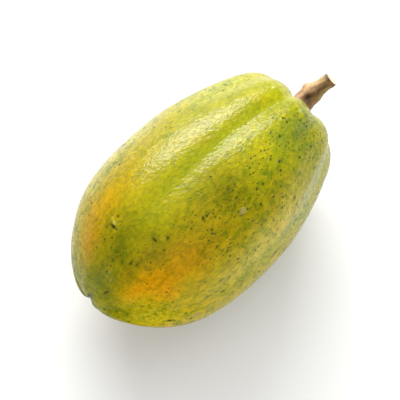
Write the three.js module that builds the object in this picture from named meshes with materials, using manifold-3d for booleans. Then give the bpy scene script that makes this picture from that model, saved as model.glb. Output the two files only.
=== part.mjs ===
// A ripening papaya lying on its side: one fleshy fruit with five shallow lobes, and the cut stem that it hung by.
// Millimetres. +X runs along the fruit towards the stem and +Z is up. The origin is under the middle of the whole
// object's box, on the surface that it rests on.
import * as THREE from "three";
import Module from "manifold-3d";
import { mergeVertices } from "three/addons/utils/BufferGeometryUtils.js";

// ---- Driving dimensions ----

// Outline of a lobe's crest, from the blossom tip over the widest part to the lip of the stem's hollow and down to
// its floor: [station along the fruit, radius].
const CREST = [
  [-97, 0], [-95.2, 13], [-87.5, 27.6], [-74.5, 42.2], [-58, 53], [-36, 59.3], [-8, 61.5], [20, 60],
  [45, 54.4], [66, 47.2], [79.5, 41], [87.5, 33.5], [91, 24.5], [90.4, 16.5], [87, 8.5], [85.5, 0],
];
// The long axis bows sideways by this much at the ends of the fruit.
const BOW = 1.5;
const BOW_REACH = 95;

// The furrows between the lobes run from the blossom tip to the stem's hollow. Angles are measured around the fruit
// from the top towards +Y; half-widths are in degrees too, and each depth is given at three places along the furrow.
const FURROWS = [
  { angle: 3, halfWidth: 7, atTip: 0.8, atMiddle: 2.0, atStem: 3.0 },
  { angle: 81, halfWidth: 9, atTip: 3.4, atMiddle: 1.3, atStem: 2.4 },
  { angle: 152, halfWidth: 9, atTip: 2.6, atMiddle: 1.4, atStem: 2.5 },
  { angle: 216, halfWidth: 9, atTip: 2.6, atMiddle: 1.4, atStem: 2.5 },
  { angle: 285, halfWidth: 8, atTip: 2.8, atMiddle: 1.5, atStem: 2.6 },
];
// A shorter furrow dents the middle of each lobe's shoulder beside the stem.
const SHOULDER_DENTS = [
  { angle: 41, depth: 2.2 }, { angle: 117, depth: 1.5 }, { angle: 184, depth: 1.4 },
  { angle: 249, depth: 0.6 }, { angle: 326, depth: 1.8 },
];
const DENT_HALF_WIDTH = 8;
// Stations between which the depths change from one place to the next.
const TIP_ZONE = [-96, -30];
const STEM_ZONE = [10, 88];
const DENT_ZONE = [20, 84];
// Furrows run out within this radius of the long axis.
const POLE_RADIUS = 14;

// The stem end hangs a little lower than the tip, which puts the centre of mass over the flat spot.
const LEAN_DEG = 2;
// The weight of the fruit flattens its lowest point by this much.
const FLAT_DEPTH = 0.7;

// Centre line of the stem in the fruit's own frame and its radius there: [x, y, z, radius].
const STEM_LINE = [
  [87.6, 1.8, 0, 7.8], [92, 2, 0.2, 7.2], [97, 2.3, 0.8, 6.7], [102, 2.4, 1.6, 6.6], [106.5, 1.9, 2.4, 5.8],
  [113, 1.2, 3.8, 5], [119.5, 0.6, 5.6, 5.3],
];
// The stem was cut askew: its end face is turned upwards by this angle.
const CUT_TILT_DEG = 10;

const RINGS = 46;
const RING_SIDES = 72;
const STEM_RINGS = 16;
const STEM_SIDES = 20;
// Steps in which the crest's length is measured before its rings are spaced out.
const CREST_STEPS = 640;

// ---- Surfaces ----

const smoothstep = THREE.MathUtils.smoothstep;
const radians = THREE.MathUtils.degToRad;

/** How close an angle is to a furrow's middle: 1 in the middle, falling off as a bell curve of the half-width. */
function bell(angle, middle, halfWidth) {
  const turn = Math.atan2(Math.sin(angle - radians(middle)), Math.cos(angle - radians(middle)));
  return Math.exp(-0.5 * (turn / radians(halfWidth)) ** 2);
}

/** How far the skin lies inside the crest surface, at a station and radius on the crest and an angle around it. */
function furrowDepth(station, radius, angle) {
  const tip = 1 - smoothstep(station, ...TIP_ZONE);
  const stem = smoothstep(station, ...STEM_ZONE);
  let depth = 0;
  for (const f of FURROWS) {
    const here = f.atMiddle + (f.atTip - f.atMiddle) * tip + (f.atStem - f.atMiddle) * stem;
    depth += here * bell(angle, f.angle, f.halfWidth);
  }
  for (const d of SHOULDER_DENTS) {
    depth += d.depth * smoothstep(station, ...DENT_ZONE) * bell(angle, d.angle, DENT_HALF_WIDTH);
  }
  return depth * smoothstep(radius, 0, POLE_RADIUS);
}

/** How far the long axis lies to the side at a station. */
function bow(station) {
  return BOW * (station / BOW_REACH) ** 2;
}

/** A curve through all the points, without loops where they lie unevenly. */
function smoothCurve(points) {
  return new THREE.CatmullRomCurve3(points, false, "centripetal");
}

/** The crest as evenly spaced points with their outward normals, on a smooth curve that crosses the axis squarely. */
function crestPoints(count) {
  const mirrored = ([station, radius]) => [station, -radius];
  const through = [mirrored(CREST[1]), ...CREST, mirrored(CREST.at(-2))];
  const curve = smoothCurve(through.map(([x, r]) => new THREE.Vector3(x, r, 0)));
  const spans = through.length - 1;
  const stepAt = (i) => curve.getPoint((1 + (i / CREST_STEPS) * (spans - 2)) / spans);
  const fine = Array.from({ length: CREST_STEPS + 1 }, (_, i) => stepAt(i));
  const travelled = [0];
  for (let i = 1; i < fine.length; i++) {
    travelled.push(travelled[i - 1] + fine[i].distanceTo(fine[i - 1]));
  }
  const points = [];
  for (let k = 0, i = 1; k < count; k++) {
    const wanted = (k / (count - 1)) * travelled.at(-1);
    while (i < fine.length - 1 && travelled[i] < wanted) i++;
    const step = (wanted - travelled[i - 1]) / (travelled[i] - travelled[i - 1]);
    const at = fine[i - 1].clone().lerp(fine[i], step);
    const along = fine[i].clone().sub(fine[i - 1]).normalize();
    points.push({ station: at.x, radius: Math.max(at.y, 0), normal: new THREE.Vector2(-along.y, along.x) });
  }
  points[0].radius = 0;
  points[count - 1].radius = 0;
  return points;
}

/** A closed mesh from a first point, rings of points with equal counts, and a last point; faces point outwards. */
function closedRings(first, rings, last) {
  const sides = rings[0].length;
  const vertices = [first, ...rings.flat(), last];
  const faces = [];
  const at = (ring, side) => 1 + ring * sides + (side % sides);
  for (let s = 0; s < sides; s++) {
    faces.push(0, at(0, s), at(0, s + 1));
    for (let r = 0; r < rings.length - 1; r++) {
      faces.push(at(r, s), at(r + 1, s), at(r, s + 1));
      faces.push(at(r, s + 1), at(r + 1, s), at(r + 1, s + 1));
    }
    faces.push(vertices.length - 1, at(rings.length - 1, s + 1), at(rings.length - 1, s));
  }
  const geometry = new THREE.BufferGeometry().setFromPoints(vertices);
  geometry.setIndex(faces);
  return geometry;
}

/** The whole skin, before its flat spot is made. */
function fruitSkin() {
  const points = crestPoints(RINGS);
  const ringAt = ({ station, radius, normal }) =>
    Array.from({ length: RING_SIDES }, (_, k) => {
      const angle = (2 * Math.PI * k) / RING_SIDES;
      const depth = furrowDepth(station, radius, angle);
      const out = radius - normal.y * depth;
      return new THREE.Vector3(station - normal.x * depth, out * Math.sin(angle) + bow(station), out * Math.cos(angle));
    });
  const pole = ({ station }) => new THREE.Vector3(station, bow(station), 0);
  return closedRings(pole(points[0]), points.slice(1, -1).map(ringAt), pole(points.at(-1)));
}

/** The stem: rings around its bent centre line, the last ones turned step by step into the slanted cut. */
function stemSkin() {
  const line = smoothCurve(STEM_LINE.map(([x, y, z]) => new THREE.Vector3(x, y, z)));
  const girth = smoothCurve(STEM_LINE.map(([, , , radius], i) => new THREE.Vector3(i, radius, 0)));
  const across = new THREE.Vector3(0, 1, 0);
  const rings = Array.from({ length: STEM_RINGS }, (_, i) => {
    const t = i / (STEM_RINGS - 1);
    const tangent = line.getTangent(t).applyAxisAngle(across, -radians(CUT_TILT_DEG) * t ** 3);
    const side = across.clone().addScaledVector(tangent, -across.dot(tangent)).normalize();
    const up = tangent.clone().cross(side);
    const centre = line.getPoint(t);
    const radius = girth.getPoint(t).y;
    return Array.from({ length: STEM_SIDES }, (_, k) => {
      const angle = (2 * Math.PI * k) / STEM_SIDES;
      const point = centre.clone().addScaledVector(side, radius * Math.sin(angle));
      return point.addScaledVector(up, radius * Math.cos(angle));
    });
  });
  return closedRings(line.getPoint(0), rings, line.getPoint(1));
}

// ---- Assembly ----

const wasm = await Module();
wasm.setup();

/** A three.js geometry as a solid that can be cut. */
function toSolid(geometry) {
  const merged = mergeVertices(geometry);
  const vertProperties = Float32Array.from(merged.attributes.position.array);
  const triVerts = Uint32Array.from(merged.index.array);
  return new wasm.Manifold(new wasm.Mesh({ numProp: 3, vertProperties, triVerts }));
}

/** A solid as a three.js geometry. */
function toGeometry(solid) {
  const mesh = solid.getMesh();
  const geometry = new THREE.BufferGeometry();
  geometry.setAttribute("position", new THREE.BufferAttribute(Float32Array.from(mesh.vertProperties), 3));
  geometry.setIndex(new THREE.BufferAttribute(Uint32Array.from(mesh.triVerts), 1));
  geometry.computeVertexNormals();
  return geometry;
}

/** The geometry without what lies below a height, which leaves a flat face there. */
function flattenBelow(geometry, height) {
  geometry.computeBoundingBox();
  const { min, max } = geometry.boundingBox;
  const margin = 10;
  const block = new THREE.BoxGeometry(max.x - min.x + 2 * margin, max.y - min.y + 2 * margin, 2 * margin);
  block.translate((min.x + max.x) / 2, (min.y + max.y) / 2, height - margin);
  block.deleteAttribute("normal");
  block.deleteAttribute("uv");
  return toGeometry(toSolid(geometry).subtract(toSolid(block)));
}

const lean = new THREE.Matrix4().makeRotationY(radians(LEAN_DEG));
const fruitShape = fruitSkin().applyMatrix4(lean);
fruitShape.computeBoundingBox();
const restHeight = fruitShape.boundingBox.min.z + FLAT_DEPTH;

const fruit = new THREE.Mesh(
  flattenBelow(fruitShape, restHeight),
  new THREE.MeshStandardMaterial({ color: 0x9aa01c, roughness: 0.42, metalness: 0 }),
);
fruit.name = "fruit";

const stem = new THREE.Mesh(
  stemSkin().applyMatrix4(lean),
  new THREE.MeshStandardMaterial({ color: 0x9c7653, roughness: 0.8, metalness: 0 }),
);
stem.name = "stem";

const papaya = new THREE.Group();
papaya.name = "papaya";
papaya.add(fruit, stem);
const box = new THREE.Box3().setFromObject(papaya);
papaya.position.set(-(box.min.x + box.max.x) / 2, -(box.min.y + box.max.y) / 2, -restHeight);

export default papaya;
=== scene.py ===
"""A ripening papaya lying on a pale studio floor.

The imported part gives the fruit's place and size. This script gives the fruit and its stem their finished
surfaces, their skin and bark, and adds the floor, the light and the camera. Shapes are worked out in
millimetres, in the fruit's own frame: a station is a distance along its long axis towards the stem, and an
angle is measured around that axis in degrees, from the top towards +Y.
"""
import itertools
import math

import bpy
import numpy as np
from mathutils import Matrix, Vector


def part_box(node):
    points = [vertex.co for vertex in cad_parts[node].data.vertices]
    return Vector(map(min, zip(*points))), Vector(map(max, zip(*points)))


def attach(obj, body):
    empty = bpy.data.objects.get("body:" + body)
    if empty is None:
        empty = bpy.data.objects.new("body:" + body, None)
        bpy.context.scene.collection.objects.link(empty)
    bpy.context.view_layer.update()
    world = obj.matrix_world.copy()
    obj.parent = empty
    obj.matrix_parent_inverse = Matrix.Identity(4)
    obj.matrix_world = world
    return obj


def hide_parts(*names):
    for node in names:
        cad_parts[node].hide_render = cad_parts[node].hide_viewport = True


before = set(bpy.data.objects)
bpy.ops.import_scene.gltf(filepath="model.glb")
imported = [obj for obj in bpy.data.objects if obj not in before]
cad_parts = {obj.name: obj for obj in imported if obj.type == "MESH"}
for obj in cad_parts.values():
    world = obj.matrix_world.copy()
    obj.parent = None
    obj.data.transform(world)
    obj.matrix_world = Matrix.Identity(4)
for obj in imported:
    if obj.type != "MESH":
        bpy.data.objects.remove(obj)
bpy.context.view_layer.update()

MM = 0.001
DEGREE = math.pi / 180

fruit_low, fruit_high = (np.array(corner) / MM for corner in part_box("fruit"))
fruit_middle = (fruit_low + fruit_high) / 2

# ---- Camera ----

CAMERA_AZIMUTH = -45.07
CAMERA_ELEVATION = 70
CAMERA_DISTANCE = 950
CAMERA_LENS = 133.3
SENSOR_WIDTH = 36
# The middle of the view lies this far to the right of the fruit's middle and above it.
AIM_RIGHT = 1.26
AIM_UP = 2.80


def view_axes(azimuth, elevation):
    """Right, up and back unit vectors of something that looks along its own -Z: azimuth 0 looks along +Y,
    and the elevation is the angle that it looks down by."""
    a = azimuth * DEGREE
    e = elevation * DEGREE
    back = Vector((math.sin(a) * math.cos(e), -math.cos(a) * math.cos(e), math.sin(e)))
    right = Vector((math.cos(a), math.sin(a), 0))
    return right, back.cross(right), back


def place(name, data, at, axes):
    """A new object at a point given in millimetres, its local X, Y and Z along three unit vectors."""
    thing = bpy.data.objects.new(name, data)
    thing.matrix_world = Matrix.Translation(Vector(at) * MM) @ Matrix(axes).transposed().to_4x4()
    bpy.context.scene.collection.objects.link(thing)
    return thing


def make_camera():
    """A long lens that looks down on the fruit."""
    right, up, back = axes = view_axes(CAMERA_AZIMUTH, CAMERA_ELEVATION)
    data = bpy.data.cameras.new("camera")
    data.lens = CAMERA_LENS
    data.sensor_width = SENSOR_WIDTH
    aim = Vector(fruit_middle) + right * AIM_RIGHT + up * AIM_UP
    bpy.context.scene.camera = place("camera", data, aim + back * CAMERA_DISTANCE, axes)


make_camera()

# ---- Numbers on grids ----

NOISE_CELLS = 48


def smoothstep(value, low, high):
    """0 up to low, 1 from high on, and t * t * (3 - 2 * t) between them."""
    t = np.clip((value - low) / (high - low), 0, 1)
    return t * t * (3 - 2 * t)


def bell(distance, half_width):
    """A bell curve: exp(-0.5 * (distance / half_width) ** 2)."""
    return np.exp(-0.5 * (distance / half_width) ** 2)


def turn(angle, middle):
    """The signed way round from one angle to another, from -180 to 180."""
    return (angle - middle + 180) % 360 - 180


def mix(first, second, share):
    """(1 - share) of the first and share of the second."""
    return first + (second - first) * share


def turned_about_y(points, angle):
    """Points turned about the Y axis by an angle in radians, which takes +Z towards +X."""
    x, y, z = np.moveaxis(points, -1, 0)
    return np.stack([x * np.cos(angle) + z * np.sin(angle), y, z * np.cos(angle) - x * np.sin(angle)], -1)


def lattice_noise(points, size, seed):
    """Smooth noise from -1 to 1: random values on a cubic lattice, blended by t * t * (3 - 2 * t) along
    each axis. The lattice's spacing is the size, which may differ along the three axes."""
    table = np.random.default_rng(seed).uniform(-1, 1, (NOISE_CELLS,) * 3)
    scaled = points / np.asarray(size)
    cell = np.floor(scaled).astype(int)
    t = smoothstep(scaled - cell, 0, 1)
    total = np.zeros(points.shape[:-1])
    for corner in itertools.product((0, 1), repeat=3):
        x, y, z = np.moveaxis((cell + corner) % NOISE_CELLS, -1, 0)
        total += table[x, y, z] * np.prod(np.where(corner, t, 1 - t), axis=-1)
    return total


def layered_noise(points, size, seed, layers=3):
    """Lattice noise in layers, each half as wide and half as strong as the one before."""
    return sum(lattice_noise(points, np.asarray(size) / 2**k, seed + k) / 2**k for k in range(layers))


def smooth_curve(knots, count):
    """Evenly counted points on the centripetal Catmull-Rom curve through the knots. Each stretch is
    blended from the lines through its four nearest knots, which are timed by the square roots of their
    distances."""
    knots = np.array(knots, float)
    before = 2 * knots[0] - knots[1]
    after = 2 * knots[-1] - knots[-2]
    p = np.vstack([before, knots, after])
    at = np.linspace(0, len(knots) - 1, count)
    k = np.minimum(at.astype(int), len(knots) - 2)
    u = (at - k)[:, None]
    p0, p1, p2, p3 = (p[k + i] for i in range(4))
    gap = [np.sqrt(np.linalg.norm(b - a, axis=1, keepdims=True)) for a, b in ((p0, p1), (p1, p2), (p2, p3))]
    slope1 = ((p1 - p0) / gap[0] - (p2 - p0) / (gap[0] + gap[1]) + (p2 - p1) / gap[1]) * gap[1]
    slope2 = ((p2 - p1) / gap[1] - (p3 - p1) / (gap[1] + gap[2]) + (p3 - p2) / gap[2]) * gap[1]
    return (p1 * (2 * u**3 - 3 * u**2 + 1) + slope1 * (u**3 - 2 * u**2 + u)
            + p2 * (3 * u**2 - 2 * u**3) + slope2 * (u**3 - u**2))


def linear(hex_colour):
    """An sRGB colour such as #a0b1c2 as linear red, green and blue."""
    parts = np.array([int(hex_colour[i:i + 2], 16) for i in (1, 3, 5)]) / 255
    return np.where(parts <= 0.04045, parts / 12.92, ((parts + 0.055) / 1.055) ** 2.4)


def tint(colour, paint, share):
    """Colours with a paint mixed in by a share. A paint is an sRGB colour and its strength."""
    hex_colour, strength = paint
    return mix(colour, linear(hex_colour), (strength * share)[..., None])


def closed_skin(name, first, rings, last):
    """A mesh of rings of points, closed by a fan at a first and a last point; the faces point outwards
    where the rings turn from +Z to +Y while they advance along +X."""
    count, sides = rings.shape[:2]
    points = np.vstack([first, rings.reshape(-1, 3), last]) * MM
    ring, side = np.meshgrid(np.arange(count - 1), np.arange(sides), indexing="ij")
    here = 1 + ring * sides + side
    beside = 1 + ring * sides + (side + 1) % sides
    quads = np.stack([here, beside, beside + sides, here + sides], -1).reshape(-1, 4)
    side = np.arange(sides)
    start = np.stack([np.zeros(sides, int), 1 + (side + 1) % sides, 1 + side], -1)
    end = 1 + (count - 1) * sides
    finish = np.stack([np.full(sides, len(points) - 1), end + side, end + (side + 1) % sides], -1)
    mesh = bpy.data.meshes.new(name)
    mesh.from_pydata(points.tolist(), [], start.tolist() + quads.tolist() + finish.tolist())
    mesh.polygons.foreach_set("use_smooth", np.ones(len(mesh.polygons), bool))
    piece = bpy.data.objects.new(name, mesh)
    bpy.context.scene.collection.objects.link(piece)
    return piece


def with_poles(values):
    """Values on rings as one list in the order of the skin's points; each pole takes the mean of the ring
    beside it."""
    flat = values.reshape(-1, *values.shape[2:])
    return np.concatenate([values[0].mean(0)[None], flat, values[-1].mean(0)[None]])


def paint_colour(piece, name, colours):
    """A colour for each point, kept as an attribute that the material reads."""
    layer = piece.data.attributes.new(name, "FLOAT_COLOR", "POINT")
    opaque = np.append(colours, np.ones((len(colours), 1)), axis=1)
    layer.data.foreach_set("color", opaque.ravel())


def paint_number(piece, name, numbers):
    """A number for each point, kept as an attribute that the material reads."""
    piece.data.attributes.new(name, "FLOAT", "POINT").data.foreach_set("value", numbers)


# ---- Shape of the fruit ----

# Outline of a lobe's crest, from the blossom tip over the widest part to the lip of the stem's hollow and
# down to its floor: (station, radius).
CREST = [
    (-97, 0), (-95.2, 13), (-87.5, 27.6), (-74.5, 42.2), (-58, 53), (-36, 59.3), (-8, 61.5), (20, 60),
    (45, 54.4), (66, 47.2), (79.5, 41), (87.5, 33.5), (91, 24.5), (90.4, 16.5), (87, 8.5), (85.5, 0),
]
# Steps in which the crest's length is measured before its rings are spaced out.
CREST_STEPS = 4000
# The long axis bows sideways by this much at the ends of the fruit.
BOW = 1.5
BOW_REACH = 95
# The furrows between the lobes: angle, half-width in degrees, and depth at the tip, the middle and the
# stem.
FURROWS = [
    (3, 7, 0.8, 2.0, 3.0), (81, 9, 3.4, 1.3, 2.4), (152, 9, 2.6, 1.4, 2.5), (216, 9, 2.6, 1.4, 2.5),
    (285, 8, 2.8, 1.5, 2.6),
]
# A shorter furrow dents the middle of each lobe's shoulder beside the stem: angle and depth.
SHOULDER_DENTS = [(41, 2.2), (117, 1.5), (184, 1.4), (249, 0.6), (326, 1.8)]
DENT_HALF_WIDTH = 8
# Stations between which the depths change from one place to the next.
TIP_ZONE = (-96, -30)
STEM_ZONE = (10, 88)
DENT_ZONE = (20, 84)
# Furrows run out within this radius of the long axis.
POLE_RADIUS = 14
# The stem end hangs a little lower than the tip, and the fruit's weight flattens its lowest point.
LEAN = 2 * DEGREE
FLAT_DEPTH = 0.7

# Where the skin lies a little lower than that: station, angle, half-length, half-width in degrees, and
# depth.
CREASES = [
    (20, 4, 40, 3.5, 0.9), (70, 1, 14, 3.5, 0.5), (90, -16, 6, 15, 2.4), (62, 36, 18, 4, 0.6),
    (60, -50, 20, 5, 0.7), (89, 19, 6, 10, 1.8),
]
# At the blossom tip the skin dips to a small scar, and the furrows fold in towards it: dip, its radius,
# depth of the folds, the radius at which they are deepest, and how much wider than the furrows they are,
# in degrees.
TIP_DIP = 2.2
TIP_DIP_RADIUS = 3.0
TIP_FOLD = 1.3
TIP_FOLD_RADIUS = 8
TIP_FOLD_WIDER = 4
# The deepest fold, on the side towards the floor: angle, half-width and extra depth.
DEEP_FOLD = (158, 17, 2.6)
# Broad waves of the skin and the cobbles of its peel: height, and the noise's size along the three axes.
WAVE_HEIGHT = 0.30
WAVE_SIZE = (34, 24, 24)
COBBLE_RISE = 0.03
COBBLE_SIZE = (2.8, 1.9, 1.9)
# Small scars, pits and bumps of the skin, and a few pale painted glints and highlights: station, angle,
# half-length and half-width in millimetres, height, colour and how strongly it colours the skin.
MARKS_AND_PAINTED_GLINTS = [
    (-63.6, 14.6, 0.7, 2.2, -1.2, "#1c1f02", 1.0), (-57.5, 16.0, 0.8, 0.7, -1.0, "#262806", 1.0),
    # the pale marks at -61.6 on this line and -60.5 on the next are painted glints beside the scar
    (-61.6, 15.2, 0.7, 1.4, 0.5, "#d2c860", 0.6), (-66.0, 18.5, 1.0, 0.7, -0.5, "#53540a", 0.6),
    (-60.5, 17.5, 1.0, 0.8, 0.5, "#c3b53a", 0.5), (-53.0, -13.0, 0.6, 1.6, -0.8, "#3a2208", 1.0),
    (-1.0, -35.0, 2.6, 1.3, 0.25, "#a08a5c", 0.75), (-46.6, -17.5, 1.1, 0.9, -0.4, "#1e2c00", 1.0),
    (-77.0, -1.5, 0.9, 0.7, -0.2, "#33400a", 0.8), (-71.0, -14.0, 1.3, 0.7, -0.2, "#39440a", 0.8),
    (-69.0, -17.5, 1.1, 0.7, -0.2, "#39440a", 0.8), (-90.0, -21.5, 1.6, 0.9, -0.4, "#4a3a1c", 0.8),
    (-83.0, -7.0, 2.4, 0.5, 0.1, "#a79a6a", 0.25), (-84.0, -13.0, 1.8, 0.5, 0.1, "#a79a6a", 0.3),
    (38.0, -28.5, 1.3, 0.8, 0.3, "#8f8a3c", 0.6), (34.0, -56.0, 1.4, 0.9, -0.3, "#3e440e", 0.7),
    (45.0, -56.0, 1.1, 0.8, 0.3, "#b4ac58", 0.6), (50.5, -29.5, 1.0, 0.7, -0.3, "#4a5210", 0.7),
    (-36.0, -63.0, 2.8, 1.3, 0.1, "#5c6230", 0.6), (-47.0, -71.0, 3.0, 1.2, -0.1, "#54601c", 0.6),
    # these two pale marks by the stem are painted sheen
    (75.5, 15.0, 1.3, 0.7, 0.2, "#d0d094", 0.6), (76.5, -17.0, 2.4, 0.8, 0.2, "#c0c684", 0.5),
    (-71.0, -87.0, 2.2, 1.2, -0.2, "#4c5416", 0.7), (-96.7, 0.0, 0.8, 2.0, 0.0, "#2a1c12", 1.0),
    # the pale lines at -96.2 and -93.0 here and -86.0 on the next line are slight ridges with painted
    # highlights
    (-96.2, -90.0, 1.5, 1.1, 0.2, "#a9ab6c", 0.45), (-93.0, 31.0, 2.6, 1.0, 0.12, "#a6a86c", 0.35),
    (-86.0, 42.0, 3.6, 1.2, 0.1, "#a8a468", 0.25), (-57.0, -86.0, 2.2, 1.6, 0.1, "#a08668", 0.5),
    (6.0, -82.0, 5.5, 1.0, -0.2, "#565e12", 0.65),
]
# A mark's half-length and half-width are this many times those of its bell curve, and it colours the skin
# by this many times its shape, so that its colour is full in the middle.
MARK_EDGE = 1.5
MARK_COVER = 1.4

FRUIT_RINGS = 270
FRUIT_SIDES = 366
# Rings and sides of a coarse fruit that is only measured.
COARSE_COUNT = 120


def crest(count):
    """Evenly spaced points of the crest's outline, as station, radius and the two parts of its outward
    normal. The outline runs on past both poles, mirrored, so that it crosses the axis squarely."""
    beyond_tip = (CREST[1][0], -CREST[1][1])
    beyond_stem = (CREST[-2][0], -CREST[-2][1])
    stations, radii = smooth_curve([beyond_tip, *CREST, beyond_stem], CREST_STEPS).T
    span = CREST_STEPS // (len(CREST) + 1)
    stations, radii = stations[span:-span], radii[span:-span]
    travelled = np.append(0, np.cumsum(np.hypot(np.diff(stations), np.diff(radii))))
    wanted = np.linspace(0, travelled[-1], count)
    stations = np.interp(wanted, travelled, stations)
    radii = np.maximum(np.interp(wanted, travelled, radii), 0)
    along_x = np.gradient(stations, wanted)
    along_r = np.gradient(radii, wanted)
    length = np.hypot(along_x, along_r)
    return stations, radii, -along_r / length, along_x / length


def furrow_depth(station, radius, angle):
    """Depth below the crest: the sum of each furrow's depth here times a bell curve of the angle."""
    tip = 1 - smoothstep(station, *TIP_ZONE)
    stem = smoothstep(station, *STEM_ZONE)
    depth = 0
    for middle, half_width, at_tip, at_middle, at_stem in FURROWS:
        here = at_middle + (at_tip - at_middle) * tip + (at_stem - at_middle) * stem
        depth = depth + here * bell(turn(angle, middle), half_width)
    shoulder = smoothstep(station, *DENT_ZONE)
    for middle, deepest in SHOULDER_DENTS:
        depth = depth + deepest * shoulder * bell(turn(angle, middle), DENT_HALF_WIDTH)
    return depth * smoothstep(radius, 0, POLE_RADIUS)


def tip_folds(station, radius, angle):
    """Depth of the dip at the blossom tip and of the folds around it, each a bell curve of the radius and
    angle."""
    folds = sum(bell(turn(angle, middle), width + TIP_FOLD_WIDER) for middle, width, *_ in FURROWS[1:])
    deep_angle, deep_width, deep = DEEP_FOLD
    folds = TIP_FOLD * folds + deep * bell(turn(angle, deep_angle), deep_width)
    dip = TIP_DIP * bell(radius, TIP_DIP_RADIUS)
    return (dip + folds * bell(radius - TIP_FOLD_RADIUS, TIP_FOLD_RADIUS / 2)) * (station < 0)


def mark_shape(station, radius, angle, at, middle, half_length, half_width):
    """1 in the middle of a mark, falling off as a bell curve along the fruit and around it."""
    around = turn(angle, middle) * DEGREE * radius
    return bell(station - at, half_length / MARK_EDGE) * bell(around, half_width / MARK_EDGE)


def skin_relief(station, radius, angle, points):
    """Height of the skin over its smooth shape: broad waves, the cobbles of its peel and every mark, less
    the creases and the folds of the tip."""
    height = WAVE_HEIGHT * layered_noise(points, WAVE_SIZE, seed=3)
    height = height + COBBLE_RISE * lattice_noise(points, COBBLE_SIZE, seed=11)
    for at, middle, half_length, half_width, depth in CREASES:
        height = height - depth * bell(station - at, half_length) * bell(turn(angle, middle), half_width)
    for at, middle, half_length, half_width, rise, _, _ in MARKS_AND_PAINTED_GLINTS:
        height = height + rise * mark_shape(station, radius, angle, at, middle, half_length, half_width)
    return height * smoothstep(radius, 0, POLE_RADIUS) - tip_folds(station, radius, angle)


def fruit_points(rings, sides, relief):
    """The fruit's skin in its own frame. A point lies at station - nx * depth along the axis and at
    radius - nr * depth from it, where (nx, nr) is the crest's normal and the relief makes the depth less;
    then it is turned around the axis by the angle, and moved aside by the bow, BOW * (station /
    BOW_REACH) ** 2."""
    station, radius, normal_x, normal_r = (values[:, None] for values in crest(rings))
    angle = np.linspace(0, 360, sides, endpoint=False)[None, :]
    station, radius, angle = np.broadcast_arrays(station, radius, angle)
    sine = np.sin(angle * DEGREE)
    cosine = np.cos(angle * DEGREE)
    depth = furrow_depth(station, radius, angle)
    if relief:
        crest_points = np.stack([station, radius * sine, radius * cosine], -1)
        depth = depth - skin_relief(station, radius, angle, crest_points)
    out = radius - normal_r * depth
    aside = BOW * (station / BOW_REACH) ** 2
    points = np.stack([station - normal_x * depth, out * sine + aside, out * cosine], -1)
    return points, station, radius, angle


def find_fruit_shift():
    """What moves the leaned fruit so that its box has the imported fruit's middle, with its flat spot on the
    floor."""
    smooth_points, *_ = fruit_points(COARSE_COUNT, COARSE_COUNT, relief=False)
    points = turned_about_y(smooth_points, LEAN).reshape(-1, 3)
    shift = fruit_middle - (points.min(0) + points.max(0)) / 2
    shift[2] = -points[:, 2].min() - FLAT_DEPTH
    return shift


fruit_shift = find_fruit_shift()


def to_row(points):
    """Points of the fruit's own frame in the row's frame: leaned about Y, then moved to where the packed
    fruit is."""
    return turned_about_y(points, LEAN) + fruit_shift


# ---- Colour of the skin ----

SKIN_BASE = "#aa9e04"
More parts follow.
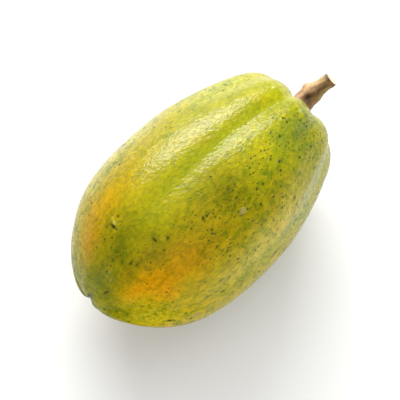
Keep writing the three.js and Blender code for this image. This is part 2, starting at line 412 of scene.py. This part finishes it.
# Where the skin has turned, and where it is still green, with a few patches of painted sheen and shade:
# station, angle, half-length in millimetres, half-width in degrees, colour and strength. Later ones lie over
# earlier ones.
SKIN_TONES_AND_PAINTED_LIGHT = [
    # the upper lobe, gold with an orange heart near the tip
    (-12, 44, 52, 14, "#9e8e02", 0.90), (-50, 32, 20, 13, "#9c8600", 0.85),
    (-60, 32, 12, 8, "#bc9000", 0.90), (-74, 27, 7, 8, "#ac7c00", 0.70), (42, 27, 36, 11, "#98990f", 0.70),
    (55, 48, 26, 9, "#a8a822", 0.70), (-66, 56, 18, 9, "#98880c", 0.60), (14, 20, 30, 8, "#878206", 0.60),
    # a painted sheen along the upper rim
    (-20, 61, 40, 7, "#c6be7c", 0.45),
    # the furrow on top; its first, narrow dark strip is painted shade on the wall that faces away from the
    # light
    (20, 6.5, 40, 2.6, "#7c8600", 0.55), (68, 3, 16, 2.6, "#8c9800", 0.40),
    (18, 5, 52, 4.5, "#919400", 0.85), (-30, 7, 22, 6, "#9a9400", 0.75), (80, 12, 8, 7, "#a0a208", 0.80),
    (30, -5, 40, 4, "#848606", 0.60),
    # the lobe beside it: olive, with an orange heart and a green shoulder
    (-66, -2, 15, 14, "#686202", 0.85), (-38, -6, 22, 9, "#8f8b00", 0.60), (0, -23, 24, 12, "#5a5700", 0.80),
    (-28, -22, 10, 8, "#a08e04", 0.60), (33, -20, 13, 9, "#beb208", 0.70),
    (-12, -44, 30, 11, "#948402", 0.75), (-66, -40, 15, 11, "#d08c00", 0.95),
    (-44, -37, 15, 8, "#aa7e02", 0.85),
    (-60, -22, 20, 6, "#766a02", 0.65), (54, -30, 24, 18, "#8c9008", 0.80), (76, -12, 9, 7, "#a39c04", 0.85),
    (68, -26, 9, 9, "#626c20", 0.85), (62, -48, 16, 7, "#8c8c08", 0.70), (22, -46, 18, 7, "#8c8002", 0.60),
    (73, -16, 5, 7, "#98980a", 0.70), (-86, 0, 7, 16, "#565a0c", 0.35), (70, -27, 5, 5, "#7b8a34", 0.60),
    (54, -20, 8, 5, "#858e22", 0.50),
    # the lower flank
    (-48, -78, 48, 15, "#b29a08", 0.85), (22, -78, 40, 11, "#a6a03a", 0.60),
    # the pale narrow band at 48, -72 is a painted sheen along the lower furrow
    (48, -72, 26, 5, "#b4b468", 0.65), (-78, -80, 12, 18, "#c4ae20", 0.80),
    (2, -98, 60, 12, "#bca824", 0.70), (8, -64, 20, 8, "#ceb84c", 0.80),
    # the other side and the underside, which ripened in the same way
    (-10, 100, 50, 16, "#bba70a", 0.85), (-60, 112, 16, 14, "#c98f04", 0.85),
    (30, 128, 40, 14, "#98a008", 0.70), (-25, 170, 45, 24, "#b7a317", 0.85),
    (-64, 186, 15, 16, "#bf9210", 0.70), (45, 196, 30, 22, "#9ba012", 0.75),
    (-5, 236, 48, 16, "#a8980e", 0.80), (-62, 240, 14, 12, "#bd8a08", 0.80),
    (50, 250, 26, 14, "#929a10", 0.70),
]
# Noise shifts the patches, so that no border is smooth: by how much along the fruit in millimetres and
# around it in degrees, and the noise's size.
SHIFT_ALONG = 5
SHIFT_ALONG_SIZE = 16
SHIFT_ASIDE = 4.5
SHIFT_ASIDE_SIZE = 13
# The furrows stay green on the stem's half, in a strip narrower than themselves.
FURROW_GREEN = ("#8a9604", 0.50)
FURROW_GREEN_ZONE = (-60, 0)
FURROW_GREEN_WIDTH = 0.7
# The blossom tip is green from one station to the next, unevenly, with a dark scar of this radius at its
# middle.
TIP_GREEN = ("#4c6208", 0.90)
TIP_GREEN_ZONE = (-95, -78)
TIP_GREEN_UNEVEN = 0.35
TIP_GREEN_SIZE = 9
TIP_SCAR = ("#2a2410", 1.0)
TIP_SCAR_RADIUS = 1.6
# Past this station, the stem's hollow is green, less and less between two radii, and its lip has a pale
# painted highlight.
STEM_END = 60
HOLLOW_GREEN = ("#7d8a18", 0.70)
HOLLOW_ZONE = (16, 30)
LIP_HIGHLIGHT = ("#b0ac30", 0.50)
LIP_RADIUS = 27
LIP_HALF_WIDTH = 3
# Long dull green smudges on the lower flank: the noise's size and the range in which they set in, the
# flank's angle and half-width, and the stations between which they run out.
SMUDGE_GREEN = ("#5c6410", 0.28)
SMUDGE_SIZE = (8, 3, 3)
SMUDGE_EDGE = (0.15, 0.75)
SMUDGE_FLANK = (-72, 17)
SMUDGE_ZONE = (10, 50)
# Fine mottling: the noise's size, and how far it lifts and lowers red, green and blue.
MOTTLE_SIZE = (9, 6, 6)
MOTTLE = (0.144, 0.096, 0.064)

# The ripest places, where hardly any speckle is left: station, angle, half-length, half-width and by how
# much.
RIPE_HEARTS = [(-58, 31, 16, 9, 0.5), (-60, -40, 16, 9, 0.5)]
# Speckling everywhere, and more of it around some angles: angle, half-width and how much more.
SPECKLED = 0.78
LEAST_SPECKLED = 0.02
MORE_SPECKLED = [(48, 10, 0.35), (-68, 13, 0.15), (190, 60, 0.25)]
# More of it on the olive flank and less on the crest on top, both setting in between two stations.
OLIVE_FLANK = (-32, 22, 0.30)
OLIVE_ZONE = (-45, 0)
BARE_CREST = (14, 16, 0.70)
BARE_ZONE = (-75, -35)
# The speckles lie in drifts: how uneven, and the noise's size.
DRIFTS = 0.45
DRIFT_SIZE = 15

# Where the skin has rubbed dull: angle, half-width and by how much, on the lower flank short of the stem,
# and on the olive flank; and at the tip by how much.
DULL_LOWER_FLANK = (-78, 30, 0.62)
DULL_ZONE = (5, 50)
DULL_OLIVE_FLANK = (-24, 22, 0.30)
DULL_TIP = 0.45
DULL_TIP_ZONE = (-80, -40)
SHINE_UNEVEN = 0.12
SHINE_SIZE = 14


def ripening(station, radius, angle, points):
    """The skin's colour: the base, each patch mixed in by a bell curve of its distance, a few of them
    painted sheen and shade, then the furrows, the tip, the hollow, its lip's painted highlight and the
    smudges by theirs, times 1 + mottling, with every mark and painted glint on top."""
    along = station + SHIFT_ALONG * layered_noise(points, SHIFT_ALONG_SIZE, seed=21)
    aside = angle + SHIFT_ASIDE * layered_noise(points, SHIFT_ASIDE_SIZE, seed=31)
    colour = np.broadcast_to(linear(SKIN_BASE), points.shape)
    for at, middle, half_length, half_width, *paint in SKIN_TONES_AND_PAINTED_LIGHT:
        colour = tint(colour, paint, bell(along - at, half_length) * bell(turn(aside, middle), half_width))
    for middle, half_width, *_ in FURROWS[1:]:
        strip = bell(turn(aside, middle), half_width * FURROW_GREEN_WIDTH)
        colour = tint(colour, FURROW_GREEN, strip * smoothstep(along, *FURROW_GREEN_ZONE))

    uneven = 1 - TIP_GREEN_UNEVEN * (1 - lattice_noise(points, TIP_GREEN_SIZE, seed=41))
    colour = tint(colour, TIP_GREEN, (1 - smoothstep(along, *TIP_GREEN_ZONE)) * uneven)
    colour = tint(colour, TIP_SCAR, bell(radius, TIP_SCAR_RADIUS) * (station < 0))
    colour = tint(colour, HOLLOW_GREEN, (1 - smoothstep(radius, *HOLLOW_ZONE)) * (station > STEM_END))
    # a painted highlight along the lip of the stem's hollow
    colour = tint(colour, LIP_HIGHLIGHT, bell(radius - LIP_RADIUS, LIP_HALF_WIDTH) * (station > STEM_END))

    smudge_angle, smudge_width = SMUDGE_FLANK
    smudges = smoothstep(layered_noise(points, SMUDGE_SIZE, seed=91), *SMUDGE_EDGE)
    smudges = smudges * bell(turn(angle, smudge_angle), smudge_width)
    smudges = smudges * (1 - smoothstep(station, *SMUDGE_ZONE))
    colour = tint(colour, SMUDGE_GREEN, smudges)
    colour = colour * (1 + layered_noise(points, MOTTLE_SIZE, seed=51)[..., None] * MOTTLE)
    for at, middle, half_length, half_width, _, hex_colour, strength in MARKS_AND_PAINTED_GLINTS:
        share = strength * mark_shape(station, radius, angle, at, middle, half_length, half_width)
        colour = tint(colour, (hex_colour, 1), np.minimum(MARK_COVER * share, 1))
    return np.clip(colour, 0, 1)


def at_angle(angle, band):
    """How much of a band that runs along the fruit there is at an angle: its amount times a bell curve."""
    middle, half_width, amount = band
    return amount * bell(turn(angle, middle), half_width)


def speckling(station, angle, points):
    """How thickly the skin is speckled, 0 to 1: the sum of what each flank has, times uneven drifts,
    times 1 less what is bare on the crest on top and in the ripe hearts."""
    flank = SPECKLED + at_angle(angle, OLIVE_FLANK) * smoothstep(station, *OLIVE_ZONE)
    flank = flank + sum(at_angle(angle, more) for more in MORE_SPECKLED)
    bare = at_angle(angle, BARE_CREST) * smoothstep(station, *BARE_ZONE)
    for at, middle, half_length, half_width, amount in RIPE_HEARTS:
        bare = bare + bell(station - at, half_length) * at_angle(angle, (middle, half_width, amount))
    drifts = 1 + DRIFTS * layered_noise(points, DRIFT_SIZE, seed=61)
    return np.clip(flank * drifts * (1 - bare), LEAST_SPECKLED, 1)


def shine(station, angle, points):
    """How much the skin reflects, 0 to 1: 1 less what each dull place takes, give or take some noise."""
    dull = at_angle(angle, DULL_LOWER_FLANK) * (1 - smoothstep(station, *DULL_ZONE))
    dull = dull + at_angle(angle, DULL_OLIVE_FLANK) + DULL_TIP * (1 - smoothstep(station, *DULL_TIP_ZONE))
    return np.clip(1 - dull + SHINE_UNEVEN * layered_noise(points, SHINE_SIZE, seed=101), 0, 1)


def make_fruit():
    """The fruit's finished skin, with its colour, speckling and shine painted on its points."""
    points, station, radius, angle = fruit_points(FRUIT_RINGS, FRUIT_SIDES, relief=True)
    placed = to_row(points)
    placed[..., 2] = np.maximum(placed[..., 2], 0)
    piece = closed_skin("papaya_fruit", placed[0].mean(0), placed[1:-1], placed[-1].mean(0))
    station, radius, angle, points = (values[1:-1] for values in (station, radius, angle, points))
    paint_colour(piece, "ripening", with_poles(ripening(station, radius, angle, points)))
    paint_number(piece, "speckling", with_poles(speckling(station, angle, points)))
    paint_number(piece, "shine", with_poles(shine(station, angle, points)))
    return piece


# ---- Shape and colour of the stem ----

# Centre line of the stem and its radius there: (x, y, z, radius).
STEM_LINE = [
    (87.6, 1.2, -0.2, 8.2), (92, 1.3, 0, 7.7), (97, 1.7, 0.6, 7.0), (102, 2.0, 1.4, 6.6),
    (107, 1.7, 2.3, 5.9), (113.8, 0.6, 3.6, 5), (121.3, -0.9, 5.0, 5.2),
]
# The stem was cut askew: its end face is turned upwards by this angle.
CUT_TILT = 18 * DEGREE
# The stem's foot swells where it leaves the fruit: x, half-length and height.
FOOT = (88.5, 2.2, 0.9)
# Knobs and hollows of the bark: x, angle around the stem from the top towards +Y, half-length, half-width
# in degrees, and height.
KNOBS = [
    (106.2, 96, 2.0, 28, 2.2), (108.0, 46, 3.0, 24, 1.2), (101.5, -18, 3.4, 27, -1.9),
    (97, 45, 3.0, 26, 0.5), (114, -60, 3.6, 26, -0.5), (95.5, -85, 2.2, 34, 0.5), (100, 172, 3.6, 32, 0.8),
    (110, 150, 3.2, 28, -0.5), (106, -120, 3.0, 28, 0.7), (92.5, 10, 1.6, 60, 0.4),
]
# The bark's strands turn around the stem by this many degrees in a millimetre, and noise on them makes
# ridges: a strand's length, the circle on which the noise is read, which sets about 12 ridges around, and
# the height.
STRAND_TURN = 1.5
STRAND_START = 95
STRAND_LENGTH = 9
STRAND_CIRCLE = 1.9
RIDGE_HEIGHT = 0.40
# Fine grain of the bark, read on a circle of the stem's mean radius: height and size.
MEAN_RADIUS = 6
GRAIN_HEIGHT = 0.12
GRAIN_SIZE = 2.2
# Nubs at the frayed rim: length of the rim, the size of the noise, how far they stand out of the bark and
# past the cut, and how much of the rim is worn away.
RIM_LENGTH = 3.0
NUB_SIZE = 0.7
NUB_OUTWARDS = 0.49
NUB_ENDWAYS = 0.21
RIM_WEAR = 0.45
# The cut face: how deep it is dished, how deep its very middle lies, and the height and size of its
# roughness.
DISH = 0.2
PITH_DEPTH = 0.5
FACE_ROUGH = 0.25
FACE_ROUGH_SIZE = 1.1

BARK_BASE = "#876338"
# Colours of the bark, with painted highlights on its upper side and painted shade in its hollows and at its
# foot:
# x, angle, half-length, half-width in degrees, colour and strength.
BARK_TONES_AND_PAINTED_LIGHT = [
    # the pale patches at 95 and 108.5 are painted highlights on the upper side
    (95, 40, 5, 40, "#bd9062", 0.9), (108.5, 44, 5, 22, "#d8ac84", 0.9),
    # the dark patches at 100.5 and 113.5 are painted shade in the bark's hollows
    (100.5, -24, 4.4, 30, "#3a220c", 1.0), (113.5, -26, 4.0, 22, "#4a3214", 0.95),
    # the pale streak at 116 is a painted highlight along the upper edge
    (116, 62, 8, 22, "#c09e66", 0.9), (114, -74, 7, 16, "#8c7a3a", 0.9), (117, 10, 3.0, 14, "#a88c48", 0.7),
    # the dark ring at 90 is a painted shadow where the stem meets the fruit
    (90, 0, 1.6, 180, "#3c260e", 0.5), (104, 180, 8, 60, "#84643e", 0.6), (98, -80, 3, 20, "#9a7448", 0.9),
]
# Noise shifts these colours: by how much along the stem in millimetres, around it in degrees, and its size.
BARK_SHIFT_ALONG = 2
BARK_SHIFT_ASIDE = 16
BARK_SHIFT_SIZE = 3.5
# How much lighter the ridges are than the grooves between them.
RIDGE_LIGHT = 0.34
RIM_BROWN = "#4e3c24"
# The brown of the rim: how it comes on along the rim, as a power of the share of the way, how much of it
# there is, how patchy it is, and the patches' size.
RIM_POWER = 0.6
RIM_COVER = 0.7
RIM_PATCHY = 1.8
RIM_PATCH_SIZE = 1.1
WOOD_CREAM = "#efdcac"
# The wood's darker specks, read on a circle that sets their size, and the brown ring under the bark:
# where it sets in, as a share of the face's radius, and how much the nubs shift that.
WOOD_SPECKS = ("#c9a45c", 0.5)
SPECK_CIRCLE = 12
WOOD_RING = (RIM_BROWN, 0.8)
WOOD_RING_EDGE = (0.78, 0.95)
WOOD_RING_SHIFT = 0.042

STEM_RINGS = 110
STEM_SIDES = 96
CUT_RINGS = 16


def stem_frames():
    """Points of the stem's centre line with its radius, the direction along it, and the side and up
    directions across it. Towards the end they turn step by step into the slanted cut, by the cube of the
    way along."""
    line = smooth_curve(STEM_LINE, STEM_RINGS)
    along = np.gradient(line[:, :3], axis=0)
    along /= np.linalg.norm(along, axis=1, keepdims=True)
    along = turned_about_y(along, -CUT_TILT * np.linspace(0, 1, STEM_RINGS) ** 3)
    side = np.array([0, 1, 0]) - along[:, 1:2] * along
    side /= np.linalg.norm(side, axis=1, keepdims=True)
    return line, along, side, np.cross(along, side)


def bark_relief(x, angle, around_stem, end, ridges, nubs):
    """How far the bark stands out over the stem's own radius: the foot and each knob as a bell curve, plus
    ridges and grain; at the end the nubs come on and the rim is worn away."""
    at, half_length, height = FOOT
    extra = height * bell(x - at, half_length)
    for at, middle, half_length, half_width, height in KNOBS:
        extra = extra + height * bell(x - at, half_length) * bell(turn(angle, middle), half_width)
    extra = extra + RIDGE_HEIGHT * ridges + GRAIN_HEIGHT * layered_noise(around_stem, GRAIN_SIZE, seed=73)
    return extra + end * (NUB_OUTWARDS * nubs - RIM_WEAR * end)


def bark_colour(x, angle, around_stem, strands, end, ridges):
    """The bark's colour: the base, each patch mixed in by a bell curve of its distance, among them painted
    highlights and shade, times 1 + the ridges, and the brown of the rim in noisy patches."""
    colour = np.broadcast_to(linear(BARK_BASE), around_stem.shape)
    wander = layered_noise(around_stem, BARK_SHIFT_SIZE, seed=81)
    along = x + BARK_SHIFT_ALONG * wander
    aside = angle + BARK_SHIFT_ASIDE * wander
    for at, middle, half_length, half_width, *paint in BARK_TONES_AND_PAINTED_LIGHT:
        colour = tint(colour, paint, bell(along - at, half_length) * bell(turn(aside, middle), half_width))
    colour = colour * (1 + RIDGE_LIGHT * ridges[..., None])
    patchy = RIM_COVER + RIM_PATCHY * lattice_noise(strands, RIM_PATCH_SIZE, seed=77)
    return tint(colour, (RIM_BROWN, 1), np.clip(end**RIM_POWER * patchy, 0, 1))


def wood_colour(inwards, across, nubs):
    """The cut wood's colour: cream with noisy specks, and a brown ring under the bark. Inwards is 1 at
    the rim and 0 in the middle."""
    specks = 0.5 + 0.5 * lattice_noise(SPECK_CIRCLE * across, 1, seed=76)
    colour = tint(linear(WOOD_CREAM), WOOD_SPECKS, specks)
    return tint(colour, WOOD_RING, smoothstep(inwards + WOOD_RING_SHIFT * nubs[-1], *WOOD_RING_EDGE))


def make_stem():
    """The stem: a ring of the bark's radius around each point of its line, then the cut face as smaller and
    smaller rings, dished by a parabola."""
    line, along, side, up = stem_frames()
    angle = np.linspace(0, 360, STEM_SIDES, endpoint=False)[None, :]
    sine = np.sin(angle * DEGREE)
    cosine = np.cos(angle * DEGREE)
    x = line[:, 0:1] + 0 * angle
    around_stem = np.stack([x, MEAN_RADIUS * sine + 0 * x, MEAN_RADIUS * cosine + 0 * x], -1)
    twisted = (angle + STRAND_TURN * (x - STRAND_START)) * DEGREE
    twisted_side = STRAND_CIRCLE * np.sin(twisted)
    twisted_up = STRAND_CIRCLE * np.cos(twisted)
    strands = np.stack([x / STRAND_LENGTH, twisted_side, twisted_up], -1)
    ridges = lattice_noise(strands, 1, seed=71) + 0.5 * lattice_noise(strands, 0.5, seed=72)
    nubs = lattice_noise(strands, NUB_SIZE, seed=74)
    end = smoothstep(x, line[-1, 0] - RIM_LENGTH, line[-1, 0])

    radius = line[:, 3:4] + bark_relief(x, angle, around_stem, end, ridges, nubs)
    outwards = side[:, None] * sine[..., None] + up[:, None] * cosine[..., None]
    endways = (end * NUB_ENDWAYS * nubs)[..., None] * along[:, None]
    bark = line[:, None, :3] + radius[..., None] * outwards + endways

    inwards = np.linspace(1, 0, CUT_RINGS + 2)[1:-1, None]
    across = np.stack([inwards * sine, inwards * cosine, 0 * inwards * sine], -1)
    rough = FACE_ROUGH * lattice_noise(radius[-1][:, None] * across, FACE_ROUGH_SIZE, seed=75)
    raised = rough - DISH * (1 - inwards**2) + NUB_ENDWAYS * nubs[-1] * inwards**4
    face = line[-1, :3] + (radius[-1] * inwards)[..., None] * outwards[-1] + raised[..., None] * along[-1]

    rings = to_row(np.vstack([bark, face]))
    middle = line[-1, :3] - PITH_DEPTH * along[-1]
    piece = closed_skin("papaya_stem", to_row(line[0, :3]), rings, to_row(middle))
    bark_tones = bark_colour(x, angle, around_stem, strands, end, ridges)
    wood_tones = wood_colour(inwards, across, nubs)
    paint_colour(piece, "bark", with_poles(np.clip(np.vstack([bark_tones, wood_tones]), 0, 1)))
    return piece


# ---- Materials ----

def add(tree, kind, settings=None, inputs=None):
    """Adds a node to a tree. Settings are its properties; an input gets a link from a socket, or a
    value."""
    node = tree.nodes.new(kind)
    for name, value in (settings or {}).items():
        setattr(node, name, value)
    for name, value in (inputs or {}).items():
        if isinstance(value, bpy.types.NodeSocket):
            tree.links.new(value, node.inputs[name])
        else:
            node.inputs[name].default_value = value
    return node


def new_material(name):
    """A material with only its shader and output, as the material, its tree and the shader."""
    material = bpy.data.materials.new(name)
    material.use_nodes = True
    return material, material.node_tree, material.node_tree.nodes["Principled BSDF"]


def per_metre(millimetres):
    """The scale of a pattern that repeats after this many millimetres."""
    return 1000 / millimetres


def opaque(hex_colour):
    """An sRGB colour as the linear red, green, blue and alpha of a socket."""
    return (*linear(hex_colour), 1)


# The skin's patterns are stretched along the fruit: this share of their scale is left there.
SKIN_STRETCH = (0.7, 1, 1)
# Cobbles of the peel: spacing and height. The real ones are finer; they are as coarse as they need to be
# to show.
COBBLE = 2.1
COBBLE_HEIGHT = 0.5
# The noise's range from the cobbles' valleys to their tops, and how bright and how rough the skin is there;
# the brightness is painted shade in the valleys and painted light on the tops.
COBBLE_RANGE = (0.36, 0.62)
COBBLE_PAINTED_SHADE = (0.82, 1.06)
GLOSS_RANGE = (0.3, 0.7)
GLOSS_ROUGHNESS = (0.31, 0.23)
# Greener blotches where the skin is speckled: spacing, the noise's range in which they set in, and their
# colour.
BLOTCH = 4.5
BLOTCH_RANGE = (0.46, 0.64)
BLOTCH_GREEN = "#cbe2da"
# Each kind of speckle: spacing, largest radius as a share of it, and darkness.
SPECKLES = [(3.8, 0.22, 0.90), (2.2, 0.27, 0.80), (1.5, 0.26, 0.60)]
SPECKLE_GREEN = "#2f4006"
# Speckles differ in size: the range of their random number, and what it makes of the radius. They fade
# out over a range of their radius, and lie a little deep.
SPECKLE_RANDOM = (0.3, 0.8)
SPECKLE_SIZES = (0.4, 1.3)
SPECKLE_FADE = (0.35, 1.2)
SPECKLE_DEPTH = 0.4
# Noise frays their outlines: its size and how far it reaches.
FRAY = 1.2
FRAY_REACH = 1.1 * MM
SKIN_IOR = 1.43
# What the shine painted on the skin is multiplied by to give the shader's specular level.
FULL_SHINE = 0.5


def papaya_skin():
    """Ripe papaya skin: a thin waxy cuticle over cells, smooth but cobbled like orange peel. It gives a
    broad soft sheen that breaks up into flecks, colours that run from green to orange, and dark green
    speckles."""
    material, tree, shader = new_material("waxy_papaya_skin")
    on_piece = add(tree, "ShaderNodeTexCoord").outputs["Object"]
    where = add(tree, "ShaderNodeMapping", inputs={
        "Vector": on_piece, "Scale": SKIN_STRETCH}).outputs["Vector"]
    colour = add(tree, "ShaderNodeAttribute", {"attribute_name": "ripening"}).outputs["Color"]
    thick = add(tree, "ShaderNodeAttribute", {"attribute_name": "speckling"}).outputs["Fac"]

    cobbles = add(tree, "ShaderNodeTexNoise", inputs={
        "Vector": where, "Scale": per_metre(COBBLE), "Detail": 2, "Roughness": 0.5}).outputs["Fac"]
    # painted shade in the cobbles' valleys and painted light on their tops
    shade = add(tree, "ShaderNodeMapRange", inputs={
        "Value": cobbles, "From Min": COBBLE_RANGE[0], "From Max": COBBLE_RANGE[1],
        "To Min": COBBLE_PAINTED_SHADE[0], "To Max": COBBLE_PAINTED_SHADE[1]})
    colour = add(tree, "ShaderNodeVectorMath", {"operation": "SCALE"}, {
        0: colour, "Scale": shade.outputs["Result"]}).outputs["Vector"]
    blotches = add(tree, "ShaderNodeTexNoise", inputs={
        "Vector": where, "Scale": per_metre(BLOTCH), "Detail": 3, "Roughness": 0.65})
    greener = add(tree, "ShaderNodeMapRange", {"interpolation_type": "SMOOTHSTEP"}, {
        "Value": blotches.outputs["Fac"], "From Min": BLOTCH_RANGE[0], "From Max": BLOTCH_RANGE[1],
        "To Min": 0, "To Max": thick})
    colour = add(tree, "ShaderNodeMix", {"data_type": "RGBA", "blend_type": "MULTIPLY"}, {
        0: greener.outputs["Result"], 6: colour, 7: opaque(BLOTCH_GREEN)}).outputs[2]

    fray = add(tree, "ShaderNodeTexNoise", inputs={"Vector": where, "Scale": per_metre(FRAY), "Detail": 2})
    frayed = add(tree, "ShaderNodeVectorMath", {"operation": "MULTIPLY_ADD"}, {
        0: fray.outputs["Color"], 1: (FRAY_REACH, FRAY_REACH, FRAY_REACH), 2: where}).outputs["Vector"]
    height = cobbles
    for spacing, size, darkness in SPECKLES:
        dots = add(tree, "ShaderNodeTexVoronoi", inputs={"Vector": frayed, "Scale": per_metre(spacing)})
        sizes = add(tree, "ShaderNodeMapRange", inputs={
            "Value": dots.outputs["Color"], "From Min": SPECKLE_RANDOM[0], "From Max": SPECKLE_RANDOM[1],
            "To Min": SPECKLE_SIZES[0] * size, "To Max": SPECKLE_SIZES[1] * size})
        reach = add(tree, "ShaderNodeMath", {"operation": "MULTIPLY"}, {
            0: thick, 1: sizes.outputs["Result"]})
        apart = add(tree, "ShaderNodeMath", {"operation": "DIVIDE"}, {
            0: dots.outputs["Distance"], 1: reach.outputs["Value"]})
        share = add(tree, "ShaderNodeMapRange", {"interpolation_type": "SMOOTHSTEP"}, {
            "Value": apart.outputs["Value"], "From Min": SPECKLE_FADE[0], "From Max": SPECKLE_FADE[1],
            "To Min": darkness, "To Max": 0})
        colour = add(tree, "ShaderNodeMix", {"data_type": "RGBA"}, {
            0: share.outputs["Result"], 6: colour, 7: opaque(SPECKLE_GREEN)}).outputs[2]
        height = add(tree, "ShaderNodeMath", {"operation": "MULTIPLY_ADD"}, {
            0: share.outputs["Result"], 1: -SPECKLE_DEPTH, 2: height}).outputs["Value"]

    tree.links.new(colour, shader.inputs["Base Color"])
    gloss = add(tree, "ShaderNodeMapRange", inputs={
        "Value": cobbles, "From Min": GLOSS_RANGE[0], "From Max": GLOSS_RANGE[1],
        "To Min": GLOSS_ROUGHNESS[0], "To Max": GLOSS_ROUGHNESS[1]})
    tree.links.new(gloss.outputs["Result"], shader.inputs["Roughness"])
    shader.inputs["IOR"].default_value = SKIN_IOR
    polish = add(tree, "ShaderNodeAttribute", {"attribute_name": "shine"}).outputs["Fac"]
    level = add(tree, "ShaderNodeMath", {"operation": "MULTIPLY"}, {0: polish, 1: FULL_SHINE})
    tree.links.new(level.outputs["Value"], shader.inputs["Specular IOR Level"])
    relief = add(tree, "ShaderNodeBump", inputs={
        "Height": height, "Strength": 1.0, "Distance": COBBLE_HEIGHT * MM})
    tree.links.new(relief.outputs["Normal"], shader.inputs["Normal"])
    return material


# Fibres of the bark: spacing and height, how much longer they are than wide, the noise's range from the
# grooves to the fibres, and how bright they are there. Real fibres are finer; these are as coarse as they
# need to be.
FIBRE = 0.9
FIBRE_HEIGHT = 0.25
FIBRE_STRETCH = (0.3, 1, 1)
FIBRE_RANGE = (0.3, 0.7)
FIBRE_SHADE = (0.72, 1.2)
BARK_ROUGHNESS = 0.55
BARK_IOR = 1.45


def stem_bark():
    """Dry bark of a papaya stalk: matte and fibrous, with fine lengthwise cracks; its cut end is pale
    wood."""
    material, tree, shader = new_material("dry_papaya_bark")
    on_piece = add(tree, "ShaderNodeTexCoord").outputs["Object"]
    where = add(tree, "ShaderNodeMapping", inputs={
        "Vector": on_piece, "Scale": FIBRE_STRETCH}).outputs["Vector"]
    colour = add(tree, "ShaderNodeAttribute", {"attribute_name": "bark"}).outputs["Color"]
    fibres = add(tree, "ShaderNodeTexNoise", inputs={
        "Vector": where, "Scale": per_metre(FIBRE), "Detail": 4, "Roughness": 0.6}).outputs["Fac"]
    shade = add(tree, "ShaderNodeMapRange", inputs={
        "Value": fibres, "From Min": FIBRE_RANGE[0], "From Max": FIBRE_RANGE[1],
        "To Min": FIBRE_SHADE[0], "To Max": FIBRE_SHADE[1]})
    colour = add(tree, "ShaderNodeVectorMath", {"operation": "SCALE"}, {
        0: colour, "Scale": shade.outputs["Result"]}).outputs["Vector"]
    tree.links.new(colour, shader.inputs["Base Color"])
    shader.inputs["Roughness"].default_value = BARK_ROUGHNESS
    shader.inputs["IOR"].default_value = BARK_IOR
    relief = add(tree, "ShaderNodeBump", inputs={
        "Height": fibres, "Strength": 1.0, "Distance": FIBRE_HEIGHT * MM})
    tree.links.new(relief.outputs["Normal"], shader.inputs["Normal"])
    return material


PAPER_WHITE = "#dadad9"


def floor_paper():
    """Matte white paper, uncoated: an even pale ground without shine."""
    material, _, shader = new_material("matte_white_paper")
    shader.inputs["Base Color"].default_value = opaque(PAPER_WHITE)
    shader.inputs["Roughness"].default_value = 0.9
    shader.inputs["Specular IOR Level"].default_value = 0
    return material


# ---- The papaya ----

for piece, node, slot, material in (
    (make_fruit(), "fruit", "papaya_skin", papaya_skin()),
    (make_stem(), "stem", "stem_bark", stem_bark()),
):
    piece.data.materials.append(material)
    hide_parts(node)
    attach(piece, "root")

# ---- Light and floor ----

FLOOR_HALF = 3000
LIGHT_DISTANCE = 2200
SKY_STRENGTH = 0.58
# Each light: name, azimuth and elevation, width and height in millimetres, watts, and whether the skin's
# gloss shows it. The broad lights only light; the window behind the fruit is what is seen in its gloss.
LIGHTS = [
    ("key_light", 108, 58, 3000, 2400, 25, False),
    ("fill_light", CAMERA_AZIMUTH, 40, 2000, 2000, 26, False),
    ("window_light", 141, 32, 1900, 800, 68, True),
]


def add_light(name, azimuth, elevation, width, height, watts, in_gloss):
    """A soft rectangular light that faces the fruit's middle, from an azimuth around it and a height over
    the floor."""
    axes = view_axes(azimuth, elevation)
    data = bpy.data.lights.new(name, "AREA")
    data.shape = "RECTANGLE"
    data.size = width * MM
    data.size_y = height * MM
    data.energy = watts
    light = place(name, data, Vector(fruit_middle) + axes[2] * LIGHT_DISTANCE, axes)
    light.visible_glossy = in_gloss


def make_floor():
    """A square sheet under the fruit."""
    mesh = bpy.data.meshes.new("floor")
    corners = [(-1, -1, 0), (1, -1, 0), (1, 1, 0), (-1, 1, 0)]
    mesh.from_pydata([[FLOOR_HALF * MM * c for c in corner] for corner in corners], [], [(0, 1, 2, 3)])
    mesh.materials.append(floor_paper())
    floor = bpy.data.objects.new("floor", mesh)
    bpy.context.scene.collection.objects.link(floor)


def make_sky():
    """An even white glow from all round, which the gloss doesn't show."""
    world = bpy.data.worlds.new("studio")
    bpy.context.scene.world = world
    world.use_nodes = True
    glow = world.node_tree.nodes["Background"]
    glow.inputs["Color"].default_value = (1, 1, 1, 1)
    glow.inputs["Strength"].default_value = SKY_STRENGTH
    world.cycles_visibility.glossy = False
    bpy.context.scene.view_settings.view_transform = "Standard"


make_floor()
make_sky()
for light_values in LIGHTS:
    add_light(*light_values)
